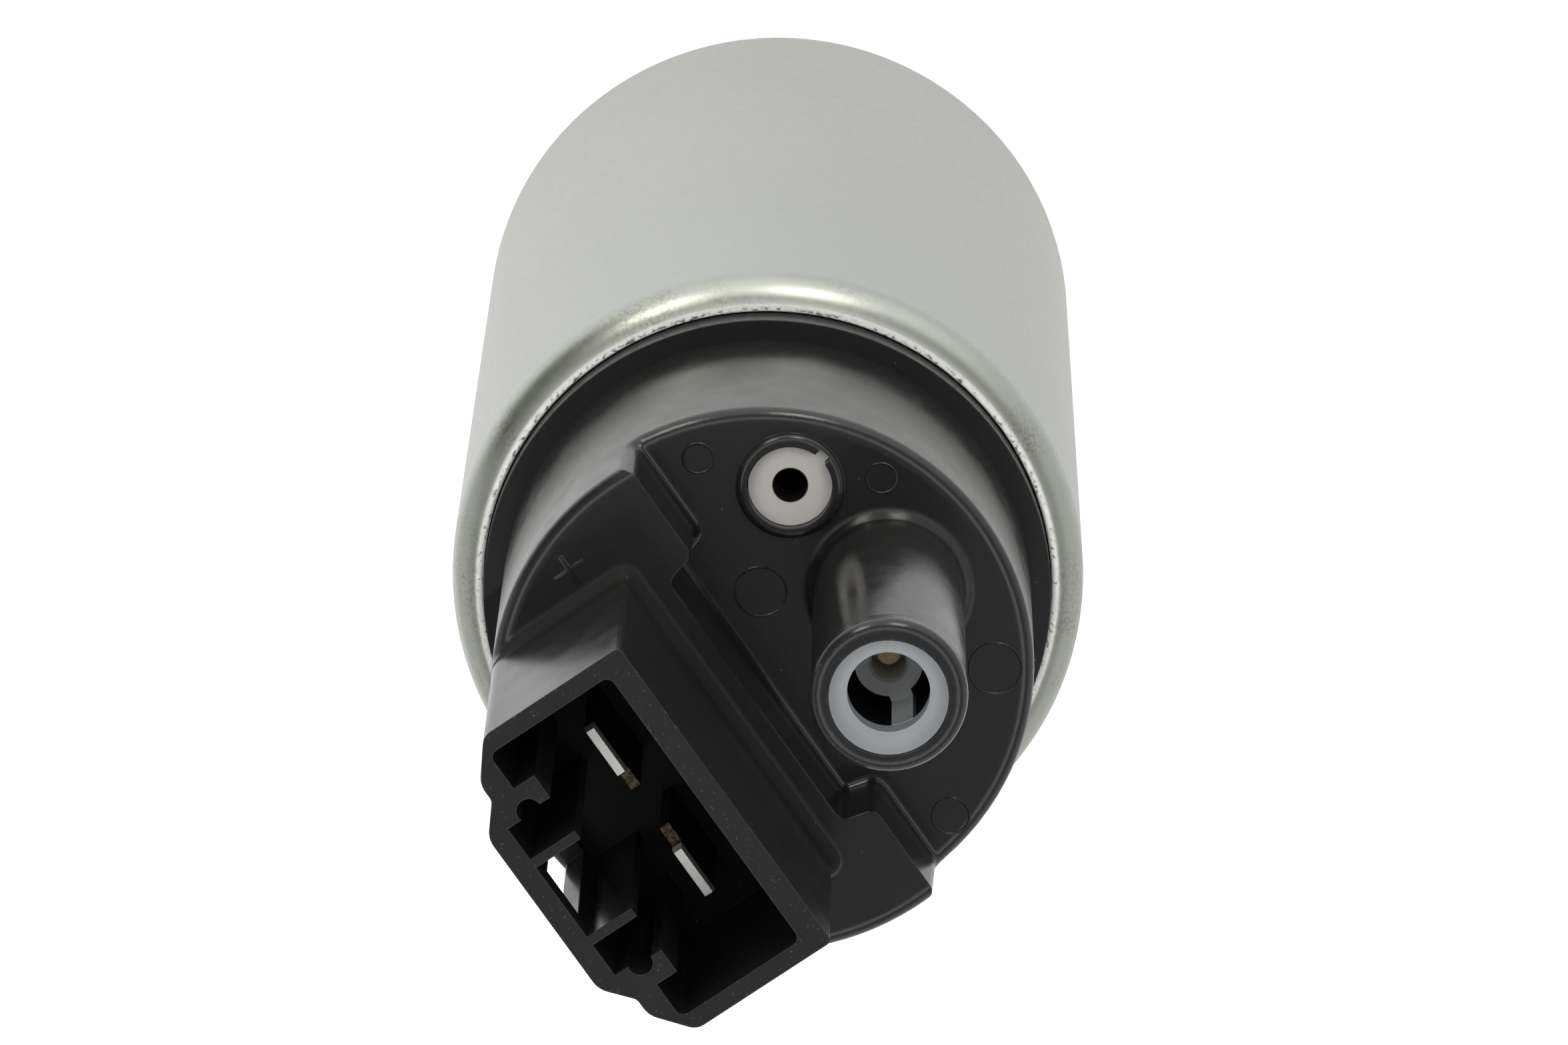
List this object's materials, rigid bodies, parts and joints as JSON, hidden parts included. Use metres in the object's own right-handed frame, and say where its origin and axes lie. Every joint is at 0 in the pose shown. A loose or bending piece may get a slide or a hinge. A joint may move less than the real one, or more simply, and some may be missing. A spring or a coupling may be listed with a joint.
{
  "type": "in-tank fuel pump",
  "caption": "Cylindrical electric in-tank fuel pump: plated steel case, black outlet cover with hose nipple, relief vent and latched terminal socket.",
  "frame": {"origin": "centre of the steel case on its axis, halfway along its length", "axes": "+Z along the case axis towards the outlet end, +X along the long side of the terminal socket, -Y on the socket's side"},
  "size_m": [0.038, 0.038, 0.1115],
  "materials": {
    "zinc_steel": "satin zinc plate with a faint draw grain, bright at the rolled edge",
    "black_plastic": "fine satin black moulding",
    "tinned_brass": "bright tin plate",
    "ferrite": "matt dark grey ceramic",
    "copper_wire": "enamelled copper wire",
    "copper": "bare copper strands",
    "brass": "turned brass",
    "carbon": "pressed carbon",
    "spring_steel": "drawn spring wire and strip",
    "sintered_bronze": "porous bronze",
    "ground_steel": "ground steel",
    "electrical_steel": "stacked laminations",
    "brown_resin": "moulded phenolic resin",
    "die_cast_aluminium": "die cast, faces machined",
    "white_plastic": "cool white moulding",
    "warm_white_plastic": "warm white moulding",
    "fuel_rubber": "black fuel-proof rubber"
  },
  "bodies": {
    "pump_body": {"case_tube": "zinc_steel", "outlet_cover": "black_plastic", "terminal_positive": "tinned_brass", "terminal_negative": "tinned_brass", "choke_cores": "ferrite", "choke_windings": "copper_wire", "brush_strap_positive": "brass", "brush_strap_negative": "brass", "brush_spring_positive": "spring_steel", "brush_spring_negative": "spring_steel", "brush_lead_positive": "copper", "brush_lead_negative": "copper", "upper_bearing": "sintered_bronze", "lower_bearing": "sintered_bronze", "magnet_north": "ferrite", "magnet_south": "ferrite", "magnet_springs": "spring_steel", "pump_casing": "die_cast_aluminium", "inlet_cover": "die_cast_aluminium", "thrust_pad": "ground_steel", "check_valve_guide": "white_plastic", "check_valve_spring": "spring_steel", "relief_valve_plug": "warm_white_plastic", "relief_valve_spring": "spring_steel"},
    "rotor": {"armature_shaft": "ground_steel", "armature_core": "electrical_steel", "armature_windings": "copper_wire", "commutator_hub": "brown_resin", "commutator_segments": "carbon", "impeller": "brown_resin"},
    "positive_brush": {"brush_positive": "carbon"},
    "negative_brush": {"brush_negative": "carbon"},
    "outlet_valve": {"check_valve_poppet": "brass", "check_valve_seal": "fuel_rubber"},
    "relief_valve": {"relief_valve_ball": "ground_steel"}
  },
  "joints": [
    {"name": "armature_spin", "type": "hinge", "parent": "pump_body", "child": "rotor", "pos_m": [0, 0, 0], "axis": [0, 0, 1], "continuous": true},
    {"name": "positive_brush_slide", "type": "slide", "parent": "pump_body", "child": "positive_brush", "axis": [0, 0, 1], "range_m": [0, 0.003], "stiffness_N_per_m": 100, "springref_m": -0.006, "deforming": ["brush_spring_positive", "brush_lead_positive"]},
    {"name": "negative_brush_slide", "type": "slide", "parent": "pump_body", "child": "negative_brush", "axis": [0, 0, 1], "range_m": [0, 0.003], "stiffness_N_per_m": 100, "springref_m": -0.006, "deforming": ["brush_spring_negative", "brush_lead_negative"]},
    {"name": "outlet_valve_slide", "type": "slide", "parent": "pump_body", "child": "outlet_valve", "axis": [0, 0, 1], "range_m": [0, 0.0018], "stiffness_N_per_m": 60, "springref_m": -0.003, "deforming": ["check_valve_spring"]},
    {"name": "relief_valve_slide", "type": "slide", "parent": "pump_body", "child": "relief_valve", "axis": [0, 0, 1], "range_m": [0, 0.0008], "stiffness_N_per_m": 900, "springref_m": -0.003, "deforming": ["relief_valve_spring"]}
  ]
}
